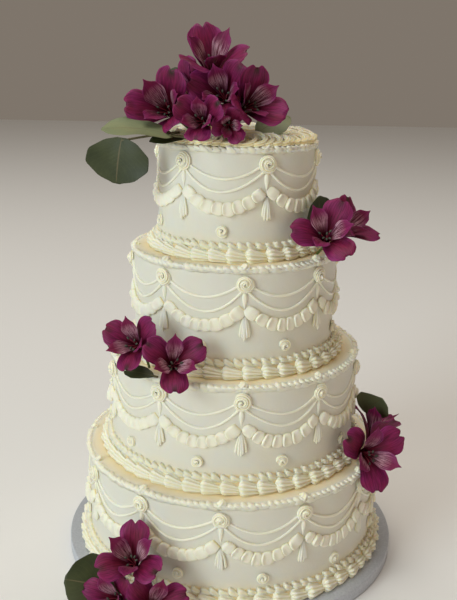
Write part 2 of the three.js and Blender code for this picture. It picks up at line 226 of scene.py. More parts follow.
# Shader group: fine grain and broad patches, two noises on Object coordinates.
def makeGrain():
    group = bpy.data.node_groups.new("grain", "ShaderNodeTree")
    for name, value in (("Fine", 900), ("Broad", 40)):
        group.interface.new_socket(name, in_out="INPUT", socket_type="NodeSocketFloat").default_value = value
    for name in ("Grain", "Patch"):
        group.interface.new_socket(name, in_out="OUTPUT", socket_type="NodeSocketFloat")
    inputs = group.nodes.new("NodeGroupInput")
    outputs = group.nodes.new("NodeGroupOutput")
    place = group.nodes.new("ShaderNodeTexCoord")
    for scale, out in (("Fine", "Grain"), ("Broad", "Patch")):
        noise = texture(group, "Noise", place.outputs["Object"], Detail=4)
        group.links.new(inputs.outputs[scale], noise.inputs["Scale"])
        group.links.new(noise.outputs["Fac"], outputs.inputs[out])
    return group


grainGroup = makeGrain()
patchy = [(0.35, 0.0), (0.7, 1.0)]  # a ramp that turns the broad noise into soft patches


def grain(tree, fine, broad):
    node = tree.nodes.new("ShaderNodeGroup")
    node.node_tree = grainGroup
    setInputs(node, dict(Fine=fine, Broad=broad))
    return node.outputs["Grain"], node.outputs["Patch"]


# Buttercream: pale with soft patches on its face, painted shade in its creases (a yellow crease colour, and a
# deeper yellow where the crease value runs highest), a little light under its skin.
smoothLook = dict(light=(0.79, 0.785, 0.70), patch=(0.80, 0.77, 0.66), creaseShade=(0.93, 0.80, 0.52),
                  deep=(0.82, 0.60, 0.30), rough=0.5, bump=0.2, fine=300)
# The piped icing is the same buttercream as the wall, painted brighter and creamier as painted light for the
# extra light its upturned ridges catch.
pipedLitLook = dict(light=(0.97, 0.95, 0.81), patch=(0.96, 0.92, 0.75), creaseShade=(0.98, 0.90, 0.60),
                 deep=(0.93, 0.76, 0.38), rough=0.40, bump=0.15, fine=900)


def buttercream(name, look):
    material, tree, shader = newMaterial(name)
    fine, patches = grain(tree, look["fine"], 30)
    base = mixColour(tree, ramp(tree, patches, patchy), look["light"], look["patch"])
    # painted shade: the crease value turns the icing yellow in creases and deeper yellow in the deepest
    # hollows
    shadeMask = attribute(tree, "creaseShade")
    half = mixColour(tree, ramp(tree, shadeMask, [(0.12, 0.0), (0.65, 1.0)]), base, look["creaseShade"])
    colour = mixColour(tree, ramp(tree, shadeMask, [(0.6, 0.0), (1.0, 1.0)]), half, look["deep"])
    tree.links.new(colour, shader.inputs["Base Color"])
    bumpNormal(tree, shader, fine, look["bump"], 0.0006)
    setInputs(shader, {"Roughness": look["rough"], "Specular IOR Level": 0.35, "Subsurface Weight": 0.35,
                       "Subsurface Radius": (1.0, 0.75, 0.4), "Subsurface Scale": 0.002})
    return material


smoothIcing = buttercream("smoothIcing", smoothLook)
pipedIcing = buttercream("pipedIcing", pipedLitLook)
print("icing made")

# Smooth tier: a profile (radius, height) swept round, with a bed of icing under the shells at its foot.
# Waves across the wall are the scraper's marks. The tints are shares of crease colour that stand for light
# and shade: painted shade low on the wall above the shells and on the bed in the pits between them, and on
# the ledge a painted warm light that deepens to painted shade towards the tier above.
skin = dict(angles=240, wallFrom=17.5, wallRows=22, ledgeWide=22, ledgeRows=9, round=3.0,
            ripple=0.3, rippleLength=90, ledgeWave=0.35, ledgeLength=30,
            footShadeHeight=16, footShadeTint=0.25, ledgeLightTint=0.28, innerShadeTint=0.4, bedShadeTint=0.8,
            bed=((5.4, 0), (5.8, 0.8), (5.6, 4), (4.4, 8), (2.4, 12), (0.7, 15.5)))


def tierBody(tier):
    radius, foot, top, seed = tier["radius"], tier["foot"], tier["top"], tier["seed"]
    bend, rows = skin["round"], skin["ledgeRows"]
    turn = np.linspace(0, math.pi / 2, 8)[1:]
    under = np.array([[0.01, foot], [radius - 1, foot]])
    bed = np.array(skin["bed"]) + [radius, foot]
    heights = np.linspace(foot + skin["wallFrom"], top - bend, skin["wallRows"])
    wall = np.stack([np.full(len(heights), radius), heights], -1)
    edge = np.stack([radius - bend + bend * np.cos(turn), top - bend + bend * np.sin(turn)], -1)
    inward = np.append(np.linspace(radius - bend - 2, radius - skin["ledgeWide"], rows), 0.01)
    ledge = np.stack([inward, np.full(rows + 1, top)], -1)
    profile = np.concatenate([under, bed, wall, edge, ledge])
    a = ring(skin["angles"])
    r, z = profile[:, :1] + 0 * a, profile[:, 1:] + 0 * a
    onWall = (r > radius - 0.5) & (z > foot + skin["wallFrom"] - 0.5)
    onLedge = (z > top - 0.01) & (r < radius - bend)
    ripple = waves([np.cos(a) * radius, np.sin(a) * radius, 3 * z], skin["rippleLength"], seed)
    swell = waves([np.cos(a) * r, np.sin(a) * r], skin["ledgeLength"], seed + 1)
    points = around(a, r + skin["ripple"] * ripple * onWall, z + skin["ledgeWave"] * swell * onLedge)
    # painted shade low on the wall and deep painted shade on the bed; on the ledge painted warm light,
    # turning to painted shade inwards
    footShade = np.clip(1 - (z - foot - 18) / skin["footShadeHeight"], 0, 1) * skin["footShadeTint"] * onWall
    inner = np.clip((radius - r - 4) / 12, 0, 1)
    ledgeLightAndShade = (skin["ledgeLightTint"] + skin["innerShadeTint"] * inner) * onLedge
    creaseShade = np.maximum(ledgeLightAndShade, footShade) + skin["bedShadeTint"] * (r > radius + 0.4)
    body = solid(points[None], creaseShade[None])
    meshFrom(f"iced_{tier['node']}", [body], smoothIcing, tier["node"])


# Piped shells in a ring. Along its length u a shell swells at once to a frayed head and narrows to a tail
# under the next head. v is the angle round it, from outwards to upwards, over an arc in degrees. Its
# grooves are a raised cosine of v to a power, and between them the ridges fan out and start ahead.
# Three shell values and one value per ring set how strong the painted crease shade is in the grooves, under
# the tail and on the underside.
shell = dict(groovePower=2.2, headPower=2.4, narrowTo=0.78, closeFrom=0.8, frayReach=0.12, roll=0.14,
             shift=0.07, wobble=0.03, grooveShade=0.62, tailShade=0.6, underShade=0.2)
footShells = dict(pitch=18, length=1.48, up=7.7, out=7.8, z=5.2, away=5.4, ridges=7, arc=(-112, 158),
                  head=0.15, shadeScale=1.0, groove=0.38, fray=0.085, slant=1.6, tail=0.54, samples=4, uneven=0.1,
                  rows=(0, 0.012, 0.04, 0.085, 0.15, 0.26, 0.40, 0.54, 0.70, 1.0))
littleShells = dict(pitch=9, length=1.7, up=5.0, out=5.0, z=13.4, away=1.6, ridges=4, arc=(-95, 150),
                    head=0.2, shadeScale=0.85, groove=0.42, fray=0.10, slant=4.2, tail=0.50, samples=2, uneven=0.18,
                    rows=(0, 0.03, 0.1, 0.28, 0.6, 1.0))
rimShells = dict(pitch=6.4, length=2.3, up=4.1, out=3.6, z=-2.3, away=0.1, ridges=3, arc=(-105, 170),
                 head=0.2, shadeScale=0.45, groove=0.40, fray=0.12, slant=2.6, tail=0.52, samples=2, uneven=0.24,
                 rows=(0, 0.03, 0.1, 0.28, 0.6, 1.0))


def shellRing(tier, base, spec, seed):
    rng = np.random.default_rng(tier["seed"] + seed)
    radius, blunt = tier["radius"] + spec["away"], spec["head"]
    count = round(2 * math.pi * radius / spec["pitch"])
    u = np.array(spec["rows"])[None, :, None]
    start, end = spec["arc"]
    arc = np.linspace(0, 1, spec["samples"] * spec["ridges"] + 1)
    back = np.radians([end + 50, start - 40])
    v = np.concatenate([np.radians(start + (end - start) * arc), back])[None, None, :]
    grooves = (0.5 + 0.5 * np.cos(2 * math.pi * spec["ridges"] * arc)) ** shell["groovePower"]
    grooved = np.append(grooves, [0.0, 0.0])[None, None, :]

    def vary(low, high):
        return rng.uniform(low, high, (count, 1, 1))

    head = 1 - ((blunt - np.minimum(u, blunt)) / blunt) ** shell["headPower"]
    head = np.clip(head, 0.0004, 1) ** 0.5
    taper = 1 - (1 - spec["tail"]) * np.clip((u - blunt) / (shell["narrowTo"] - blunt), 0, 1) ** 0.9
    closing = np.clip((u - shell["closeFrom"]) / (1 - shell["closeFrom"]), 0, 1)
    swell = head * taper * np.sqrt(np.clip(1 - closing ** 2, 0.01, 1))
    swell = swell * vary(1 - spec["uneven"], 1 + spec["uneven"])
    star = 1 - spec["groove"] * vary(0.8, 1.2) * grooved * (0.6 + 0.4 * head)
    roll = vary(-shell["roll"], shell["roll"])
    up = spec["up"] * swell * star * np.sin(v + roll)
    out = spec["out"] * swell * star * np.cos(v + roll)
    settle = 1 - taper
    climb = spec["slant"] * (0.35 - u) * vary(0.3, 1.7) - spec["up"] * 0.5 * settle
    fray = spec["fray"] * (grooved - 0.5) * np.exp(-u / shell["frayReach"])
    fray = fray + shell["wobble"] * vary(-1, 1) * np.sin(3 * v)
    along = np.arange(count)[:, None, None] + vary(-shell["shift"], shell["shift"])
    along = along + spec["length"] * (u - 0.05 + fray)
    bearing = tier["turn"] + along * 2 * math.pi / count
    points = around(bearing, radius - spec["away"] * 0.5 * settle + out, base + spec["z"] + climb + up)
    # painted shade in the grooves, on the tail where it runs under the next head, and on the underside
    under = np.clip(-np.sin(v) * 1.2, 0, 1) * shell["underShade"]
    tail = np.clip((u - 0.55) / 0.25, 0, 1)
    creaseShade = np.clip(shell["grooveShade"] * grooved + shell["tailShade"] * tail + under, 0, 1)
    return solid(points, spec["shadeScale"] * creaseShade)


# Small swirled tufts on the rim over each rosette: a squat drop whose ridges twist as they rise.
tuft = dict(height=6.6, radius=5.3, rows=11, cols=20, ridges=5, groove=0.36, twist=1.5, lean=2.6, sunk=2.5)


def rimTufts(tier, bearings):
    rng = np.random.default_rng(tier["seed"] + 5)
    copies = (len(bearings), 1, 1)
    u = np.linspace(0, 1, tuft["rows"])[None, :, None]
    v = ring(tuft["cols"])[None, None, :]
    swell = np.clip(u / 0.2, 0.02, 1) ** 0.5 * np.sqrt(np.clip(1 - u ** 2.6, 0, 1))
    groove = 0.5 - 0.5 * np.cos(tuft["ridges"] * (v + tuft["twist"] * u))
    star = 1 - tuft["groove"] * groove
    r = tuft["radius"] * np.clip(swell, 0.02, 1) * star * rng.uniform(0.85, 1.12, copies)
    lean = tuft["lean"] * rng.uniform(0.3, 1.3, copies) * u
    bearing = bearings[:, None, None] + (r * np.cos(v) + lean * 0.6) / tier["radius"]
    z = tier["top"] - tuft["sunk"] + tuft["height"] * u * rng.uniform(0.85, 1.1, copies)
    # painted crease shade in the twisted grooves
    return solid(around(bearing, tier["radius"] - 1.0 - lean + r * np.sin(v), z), 0.5 * groove)


# Pleated swag. A pleat is one turn of a fixed curve (x along the swag, out from the wall): a rounded lip
# that overhangs the pleat before it, then a shallow hollow. q runs from the swag's top edge to its hem.
swag = dict(top=(29, 50.5), bottom=(45, 63.5), sag=2.1, pleats=8, reach=0.93, limit=0.965)
pleat = dict(
    x=(0.005, -0.035, -0.055, -0.035, 0.015, 0.08, 0.17, 0.30, 0.46, 0.62, 0.78, 0.90, 0.97),
    out=(0.12, 0.40, 0.76, 1.04, 1.18, 1.10, 0.90, 0.76, 0.72, 0.72, 0.70, 0.54, 0.22),
    last=(0.99, 0.15),  # the x and out that close the last pleat
    depth=4.3,
    q=(0.06, 0.0, 0.015, 0.07, 0.17, 0.34, 0.55, 0.76, 0.90, 0.975, 1.0, 0.97, 0.84),
    rise=(-0.25, 0.22, 0.52, 0.80, 0.96, 1.04, 1.06, 1.04, 0.96, 0.78, 0.5, 0.2, -0.25),
    bow=0.10,
    scallop=1.9,
    wander=0.11,
    uneven=(0.8, 1.12),
    dip=0.5,
)


# How far down from the tier's top an edge of the swag hangs at s, from -1 to 1 between two rosettes.
def hang(ends, s):
    return ends[1] - (ends[1] - ends[0]) * np.abs(s) ** swag["sag"]


def ruffles(tier):
    rng = np.random.default_rng(tier["seed"] + 7)
    radius, count, n = tier["radius"], tier["swags"], swag["pleats"]
    copy, half = np.arange(count)[:, None, None], math.pi / count
    phase = np.append(np.tile(pleat["x"], n), pleat["last"][0])[None, :, None]
    shape = np.append(np.tile(pleat["out"], n), pleat["last"][1])[None, :, None]
    number = np.append(np.repeat(np.arange(n), len(pleat["x"])), n - 1)
    q = np.array(pleat["q"])[None, None, :]
    rise = np.array(pleat["rise"])[None, None, :]
    lip = np.clip(1 - phase / 0.35, 0, 1)
    x = number[None, :, None] + phase + pleat["bow"] * lip * ((2 * q - 1) ** 2 - 0.6)
    wander = pleat["wander"] * waves([x, copy * 9.0], 2.5, tier["seed"] + 8)
    s = np.clip(swag["reach"] * (2 * (x + wander) / n - 1), -swag["limit"], swag["limit"])
    size = rng.uniform(*pleat["uneven"], (count, n))[:, number][:, :, None]
    dip = rng.normal(0, pleat["dip"], (count, n))[:, number][:, :, None]
    ends = np.clip((1.04 - np.abs(s) / swag["reach"]) / 0.1, 0.25, 1)
    out = np.where(rise < 0, -0.8, pleat["depth"] * shape * rise * size * ends + 0.5)
    upper, lower = hang(swag["top"], s), hang(swag["bottom"], s)
    fall = (swag["top"][1] - swag["top"][0]) * swag["sag"] * np.abs(s) ** (swag["sag"] - 1)
    slope = -np.sign(s) * fall / (half * radius)
    norm = np.sqrt(1 + slope ** 2)
    scallop = pleat["scallop"] * (np.sin(math.pi * np.clip(phase, 0.004, 0.996)) ** 0.5 - 0.8)
    hem = (1.2 * scallop + dip) * np.clip(2 * q - 1, 0, 1)
    brow = 0.9 * scallop * np.clip(1 - 2.5 * q, 0, 1)
    down = (q - 0.5) * (lower - upper) / norm + hem - brow
    bearing = tier["turn"] + (2 * copy + 1 + s) * half - slope / norm * down / radius
    z = tier["top"] - 0.5 * (upper + lower) - down / norm
    # painted shade in the folds where a pleat runs under the next lip, along the top edge against the wall
    # and under the hem
    foldShade = np.clip((0.5 - shape) * 3.4, 0, 1)
    topEdgeShade, hemEdgeShade = (rise < 0.3) * (q < 0.1), (rise < 0.6) * (q > 0.7)
    creaseShade = np.clip(0.8 * foldShade + 0.45 * topEdgeShade + 0.3 * hemEdgeShade, 0, 1)
    return solid(around(bearing, radius + out, z), creaseShade)


# Two strings hang between neighbouring rosettes: round ropes whose drop goes with |s| to a power.
strings = dict(radius=1.35, ends=(14, 21), lows=(30, 42.5), power=1.9, reach=0.97, proud=0.5,
               steps=30, cols=8, slack=0.8, lean=0.06, uneven=0.08, shadeTint=0.08)


def hungStrings(tier, end, low, seed):
    rng = np.random.default_rng(tier["seed"] + seed)
    count = tier["swags"]
    copy = np.arange(count)[:, None]
    s = np.linspace(-1, 1, strings["steps"])[None, :]
    deepest = low + rng.normal(0, strings["slack"], (count, 1))
    leaning = s + rng.normal(0, strings["lean"], (count, 1)) * (1 - s ** 2)
    drop = end + (deepest - end) * (1 - np.abs(leaning) ** strings["power"])
    bearing = tier["turn"] + (2 * copy + 1 + s * strings["reach"]) * math.pi / count
    uneven = 1 + strings["uneven"] * waves([9 * s, copy * 5.0], 1.5, tier["seed"] + seed)
    path = around(bearing, tier["radius"] + strings["proud"], tier["top"] - drop)
    points, _ = rope(path, strings["radius"] * uneven, around(bearing, 1.0, 0.0), strings["cols"])
    return solid(points, strings["shadeTint"])


# A swirl on the wall: a ridged rope winding in from its rim to its middle, rising off the wall as it goes.
rosette = dict(drop=15, radius=7.1, turns=2.2, rope=2.8, rise=4.4, ridges=6, groove=0.44, steps=76, cols=30)
dot = dict(drop=78, radius=4.7, turns=1.7, rope=2.25, rise=3.0, ridges=5, groove=0.42, steps=48, cols=25)


def swirls(tier, spec, bearings, seed):
    rng = np.random.default_rng(tier["seed"] + seed)
    copies, middle = (len(bearings), 1), bearings[:, None]
    w = np.linspace(0, 1, spec["steps"])[None, :]
    angle = rng.uniform(0, 2 * math.pi, copies) - 2 * math.pi * spec["turns"] * w ** 0.85
    radius = spec["radius"] * (1 - w ** 1.35) * rng.uniform(0.94, 1.06, copies)
    out = spec["rope"] * 0.5 + spec["rise"] * w ** 1.3 * rng.uniform(0.85, 1.1, copies)
    bearing = middle + radius * np.cos(angle) / tier["radius"]
    path = around(bearing, tier["radius"] + out, tier["top"] - spec["drop"] + radius * np.sin(angle))
    taper = np.clip(w / 0.05, 0.02, 1) ** 0.6 * np.clip((1 - w) / 0.13, 0.02, 1) ** 0.5
    thick = spec["rope"] * taper * (1 - 0.2 * w)
    outward = around(middle + 0 * w, 1.0, 0.0)
    points, groove = rope(path, thick, outward, spec["cols"], spec["ridges"], spec["groove"], twist=0.2)
    # painted crease shade in the rope's grooves, fading out at the swirl's middle
    return solid(points, 0.7 * groove ** 1.5 * (1 - w[..., None] ** 5))


# A short drop of icing under each rosette: a drawn-out bead, fattest above its middle.
bead = dict(top=22, length=19, half=3.0, out=2.6, rows=10, cols=12, shadeTint=0.1)


def beads(tier, bearings):
    u = np.linspace(0, 1, bead["rows"])[None, :, None]
    v = ring(bead["cols"])[None, None, :]
    swell = np.clip(np.sin(math.pi * np.clip(u, 0.02, 0.98) ** 0.7), 0.02, 1) * (1 - 0.35 * u)
    bearing = bearings[:, None, None] + bead["half"] * swell * np.cos(v) / tier["radius"]
    radius = tier["radius"] + bead["out"] * swell * np.sin(v)
    return solid(around(bearing, radius, tier["top"] - bead["top"] - bead["length"] * u), bead["shadeTint"])


# A tassel: strands from one point that spread as they fall, thicken and end raggedly.
tassel = dict(top=45, length=25, strands=5, spread=4.2, out=2.4, proud=0.3, radius=1.6, steps=12, cols=8,
              shadeTint=0.55)


def tassels(tier, bearings):
    rng = np.random.default_rng(tier["seed"] + 13)
    k = np.linspace(-1, 1, tassel["strands"])[None, :]
    copies = (len(bearings), tassel["strands"])
    length = (tassel["length"] * (1 - 0.14 * np.abs(k)) * rng.uniform(0.92, 1.05, copies)).reshape(-1, 1)
    side = (tassel["spread"] * (k + rng.normal(0, 0.1, copies))).reshape(-1, 1)
    lift = (tassel["out"] * (1 - 0.5 * k ** 2) * rng.uniform(0.8, 1.1, copies)).reshape(-1, 1)
    middle = np.repeat(bearings, tassel["strands"])[:, None]
    w = np.linspace(0, 1, tassel["steps"])[None, :]
    bearing = middle + side * np.sin(math.pi / 2 * w) ** 0.9 / tier["radius"]
    out = tassel["proud"] + lift * np.sin(math.pi * w * 0.72) ** 0.8
    path = around(bearing, tier["radius"] + out, tier["top"] - tassel["top"] - length * w)
    ends = np.clip((1 - w) / 0.1, 0.05, 1) ** 0.5 * np.clip(w / 0.06, 0.1, 1)
    radius = tassel["radius"] * (0.6 + 0.4 * w) * ends + 0 * side
    points, _ = rope(path, radius, around(middle + 0 * w, 1.0, 0.0), tassel["cols"])
    # painted shade on the sides of each strand, where the strands lie against each other
    return solid(points, tassel["shadeTint"] * (np.abs(np.cos(ring(tassel["cols"]))) > 0.9))


# Looped border on the top tier: a ridged rope laid in overlapping loops, bearing + b sin p, radius - a cos p.
# The seed also turns the row, so that the two rows don't start together.
loops = dict(rows=(70.6, 58.6), pitch=8.6, wide=7.2, back=8.0, rope=3.1, proud=2.2, lift=6.2, lead=1.1,
             steps=22, cols=20, ridges=5, groove=0.42)


def loopedBorder(tier, radius, seed):
    count = round(2 * math.pi * radius / loops["pitch"])
    p = np.linspace(0, 2 * math.pi * count, count * loops["steps"] + 1)[None, :]
    size = 1 + 0.2 * waves([p], 7, tier["seed"] + seed)
    across = radius - loops["wide"] * size * np.cos(p)
    bearing = p / count + loops["back"] * size * np.sin(p) / radius + seed
    high = loops["proud"] + loops["lift"] * (0.5 + 0.5 * np.sin(p + loops["lead"])) * size
    thick = loops["rope"] * (1 + 0.1 * waves([p], 3, seed))
    points, groove = rope(around(bearing, across, tier["top"] + high), thick, np.array([0, 0, 1.0]),
                          loops["cols"], loops["ridges"], loops["groove"])
    # painted crease shade in the grooves and on the low parts of the loops
    sunk = np.clip(0.7 - (high - 2) / loops["lift"], 0, 1)[..., None]
    return solid(points, np.clip(0.7 * groove + 0.7 * sunk, 0, 1))


# The borders of a tier are one mesh, and what hangs on its wall is another.
def piping(tier):
    step = 2 * math.pi / tier["swags"]
    bearings = tier["turn"] + np.arange(tier["swags"]) * step
    borders = [shellRing(tier, tier["foot"], footShells, 1), shellRing(tier, tier["foot"], littleShells, 2),
               shellRing(tier, tier["top"], rimShells, 3), rimTufts(tier, bearings)]
    meshFrom(f"borders_{tier['node']}", borders, pipedIcing, tier["node"])
    hung = [hungStrings(tier, end, low, 9 + k)
            for k, (end, low) in enumerate(zip(strings["ends"], strings["lows"]))]
    swags = [ruffles(tier), *hung, swirls(tier, rosette, bearings, 11),
             swirls(tier, dot, bearings + step / 2, 12), beads(tier, bearings), tassels(tier, bearings)]
    meshFrom(f"swags_{tier['node']}", swags, pipedIcing, tier["node"])


for tier in tiers:
    tierBody(tier)
    piping(tier)
topBorder = [loopedBorder(tiers[3], radius, 20 + k) for k, radius in enumerate(loops["rows"])]
meshFrom("looped_border", topBorder, pipedIcing, tiers[3]["node"])
print("tiers iced and piped")

# Flowers, as placed on the frame: throat, direction of opening, roll in degrees, size, openness and
# the stem's end. Six tepals round the throat, outer and inner in turn.
flowers = dict(
    flower_top_1=dict(base=(-25.7, -12.5, 495.2), axis=(0.02, -0.58, 0.75), roll=109, size=1.03, open=0.79,
                      foot=(-28.1, -1.8, 439.1)),
    flower_top_2=dict(base=(-61.6, -29.5, 463), axis=(-0.29, -0.93, 0.4), roll=53, size=1.02, open=0.71,
                      foot=(-33.1, -20.1, 439.1)),
    flower_top_3=dict(base=(-30.1, -62.9, 458.5), axis=(-0.18, -0.89, 0.28), roll=20, size=0.74, open=0.7,
                      foot=(-22.6, -33.4, 439.1)),
    flower_top_4=dict(base=(3.2, -42, 469), axis=(0.46, -0.84, 0.38), roll=115, size=0.93, open=0.71,
                      foot=(3.2, -25.8, 439.1)),
    flower_top_5=dict(base=(-11.1, -28.3, 476.1), axis=(-0.14, -0.76, 0.35), roll=38, size=0.92, open=0.74,
                      foot=(-14.2, -11.4, 439.1)),
    flower_top_6=dict(base=(-6, 12, 463), axis=(0.3, 0.52, 0.72), roll=20, size=0.9, open=0.95,
                      foot=(-8, 6, 439.1)),
    flower_top_7=dict(base=(-37.7, -15.7, 478.4), axis=(-0.53, -0.49, 0.57), roll=59, size=0.78, open=0.7,
                      foot=(-38.8, -8.3, 439.1)),
    flower_top_8=dict(base=(-8.5, -66, 458.5), axis=(0.08, -0.97, -0.02), roll=190, size=0.52, open=0.74,
                      foot=(-14, -40, 439.1)),
    flower_right_1=dict(base=(86.8, -58.6, 347.3), axis=(-0.06, -0.84, 0.63), roll=61, size=0.88, open=1.05,
                        foot=(79.6, -46.9, 332.6)),
    flower_right_2=dict(base=(99, -38, 348), axis=(0.6, -0.35, 0.7), roll=0, size=0.82, open=0.9,
                        foot=(91.2, -31, 332.6)),
    flower_left_1=dict(base=(-56.9, -112.5, 237.7), axis=(0.14, -0.74, 0.53), roll=37, size=0.8, open=1.05,
                       foot=(-59.2, -104.7, 226.1)),
    flower_left_2=dict(base=(-87.6, -91.7, 248.9), axis=(-0.33, -0.67, 0.48), roll=20, size=0.78, open=1.01,
                       foot=(-81.1, -84.6, 226.1)),
    flower_low_1=dict(base=(132, -62.2, 128.4), axis=(0.32, -0.79, 0.35), roll=46, size=0.94, open=1.09,
                      foot=(133.9, -61.1, 119.6)),
    flower_low_2=dict(base=(145, -35.3, 126.4), axis=(0.34, 0.26, 0.98), roll=57, size=0.85, open=0.8,
                      foot=(134.9, -41.4, 119.6)),
    flower_foot_1=dict(base=(-88.9, -149.4, 49.1), axis=(-0.09, -0.54, 0.74), roll=84, size=0.88, open=1,
                       foot=(-86.2, -146.5, 13.1)),
    flower_foot_2=dict(base=(-100.1, -157.6, 18.7), axis=(-0.48, -0.69, 0.48), roll=26, size=0.78, open=1,
                       foot=(-94.9, -150.5, 13.1)),
    flower_foot_3=dict(base=(-74.8, -169.7, 18.9), axis=(0.3, -0.66, 0.57), roll=30, size=0.82, open=1,
                       foot=(-70.7, -157.2, 13.1)),
)
outerTepal = dict(length=52, width=16, lean=(14, 74), at=(0, 0.2, 0.5, 0.8, 0.92, 1),
                  share=(0.1, 0.36, 0.88, 1.06, 0.95, 0.6), lobed=True, reach=0.955, rollBack=1.7)
innerTepal = dict(length=52, width=10, lean=(7, 50), at=(0, 0.3, 0.66, 0.88, 1),
                  share=(0.14, 0.48, 1.05, 0.8, 0.12), lobed=False, reach=1.0, rollBack=0.6)
bloom = dict(throat=3, cup=0.28, thick=0.7, rows=22, half=9, ruffle=0.09, midrib=0.05)
stem = dict(neck=6, thick=1.5, foot=1.2, flare=1.25, steps=16, cols=12, ridges=6, groove=0.12)
stamen = dict(reach=24, thick=0.45, lie=1.9, anther=(0.1, 0.75, 1.0, 1.05, 1.0, 0.75, 0.1))
skew = np.array([0.31, 0.17, 0.93])  # a direction that no stem or thread quite runs along


# The frame of a flower: its axis, and a direction for each angle round it.
def flowerFrame(flower):
    axis = unit(np.array(flower["axis"], float))
    k = np.array([[0, 0, axis[0]], [0, 0, axis[1]], [-axis[0], -axis[1], 0]])
    turn = np.eye(3) + k + k @ k / (1 + axis[2])

    def toward(degrees):
        a = np.radians(degrees + flower["roll"])
        return turn @ np.array([math.cos(a), math.sin(a), 0])
    return axis, toward


# An outline's share of its full width at u: straight lines between the points given, smoothed by a
# sliding Hann window.
def smoothSteps(u, at, share, window=29):
    knots = np.linspace(0, 1, 201)
    line = np.pad(np.interp(knots, at, share), window // 2, mode="edge")
    weights = np.hanning(window) / np.hanning(window).sum()
    return np.interp(u, knots, np.convolve(line, weights, mode="valid"))


# A tepal bends along an arc: its lean grows evenly from the throat to the tip, u is the share of its
# length and w runs across it. Edges cup inwards below and roll back towards the tip.
def tepal(flower, kind, turn, rng, pale):
    axis, toward = flowerFrame(flower)
    out, across = toward(turn), toward(turn + 90)
    first = math.radians(kind["lean"][0])
    growth = math.radians(kind["lean"][1] * flower["open"]) - first
    length, size = kind["length"] * flower["size"], flower["size"]
    loop = ring(4 * bloom["half"])
    w, face = np.cos(loop)[None, :], np.sin(loop)[None, :]
    side = np.abs(w)
    s = np.linspace(0, 1, bloom["rows"])[:, None] ** 0.9
    # an outer tip has two lobes with a notch between them, and an inner one comes to a point
    if kind["lobed"]:
        lobes = 0.06 * np.sin(math.pi * side ** 0.9) ** 1.5 - 0.03 * np.exp(-(w / 0.16) ** 2)
    else:
        lobes = -0.10 * side ** 1.5
    u = s * (1 + lobes * s ** 5) * kind["reach"]
    lean = first + growth * u
    spread = bloom["throat"] * size + length * (np.cos(first) - np.cos(lean)) / growth
    rise = length * (np.sin(lean) - np.sin(first)) / growth
    half = kind["width"] * size * smoothSteps(s, kind["at"], kind["share"])
    inward = -np.cos(lean)[..., None] * out + np.sin(lean)[..., None] * axis
    roll = bloom["cup"] * (1 - kind["rollBack"] * s ** 2)
    ruffle = bloom["ruffle"] * np.sin(9 * s + 5 * w + rng.uniform(0, 6)) * side ** 2 * s
    midrib = -bloom["midrib"] * np.exp(-(w / 0.12) ** 2) * (1 - 0.4 * s)
    thick = bloom["thick"] * np.clip(1 - w ** 2, 0, 1) ** 0.5 * np.clip((1 - s) / 0.05, 0.1, 1) ** 0.5
    offset = half * (roll * side ** 1.6 + ruffle + midrib) + 0.5 * thick * face
    points = (np.array(flower["base"], float) + spread[..., None] * out + rise[..., None] * axis
              + (w * half)[..., None] * across + offset[..., None] * inward)
    return solid(points[None], along=s, across=w, pale=pale, tone=rng.uniform(0, 1), green=0.0)


# A bent thread: a quadratic curve from the first of three points to the last, drawn towards the middle
# one, with a radius at each step.
def thread(guide, radii, cols=6):
    a, b, c = (np.array(p, float) for p in guide)
    t = np.linspace(0, 1, len(radii))[:, None]
    path = (1 - t) ** 2 * a + 2 * t * (1 - t) * b + t ** 2 * c
    points, _ = rope(path[None], np.array(radii)[None], skew, cols)
    return points


# A stem runs straight from its foot to the neck, then flares into the throat as its green fades.
def stemSolid(flower):
    axis, _ = flowerFrame(flower)
    base, foot = np.array(flower["base"], float), np.array(flower["foot"], float)
    neck = base - axis * stem["neck"] * flower["size"]
    if neck[2] < foot[2]:
        neck = foot + axis * 0.5
    t = np.linspace(0, 1, stem["steps"])
    flare = t[1:]
    line, cup = foot + (neck - foot) * t[:, None], neck + (base + axis * 3 - neck) * flare[:, None]
    path = np.concatenate([line, cup])
    wide = bloom["throat"] * flower["size"] * stem["flare"]
    width = np.concatenate([np.linspace(stem["foot"], stem["thick"], len(t)),
                            stem["thick"] + (wide - stem["thick"]) * flare ** 0.6])
    green = np.concatenate([np.ones(len(t)), 1 - flare ** 2])[:, None]
    points, _ = rope(path[None], width[None], skew, stem["cols"], stem["ridges"], stem["groove"])
    return solid(points, along=0.0, across=0.0, pale=0.0, tone=0.5, green=green)


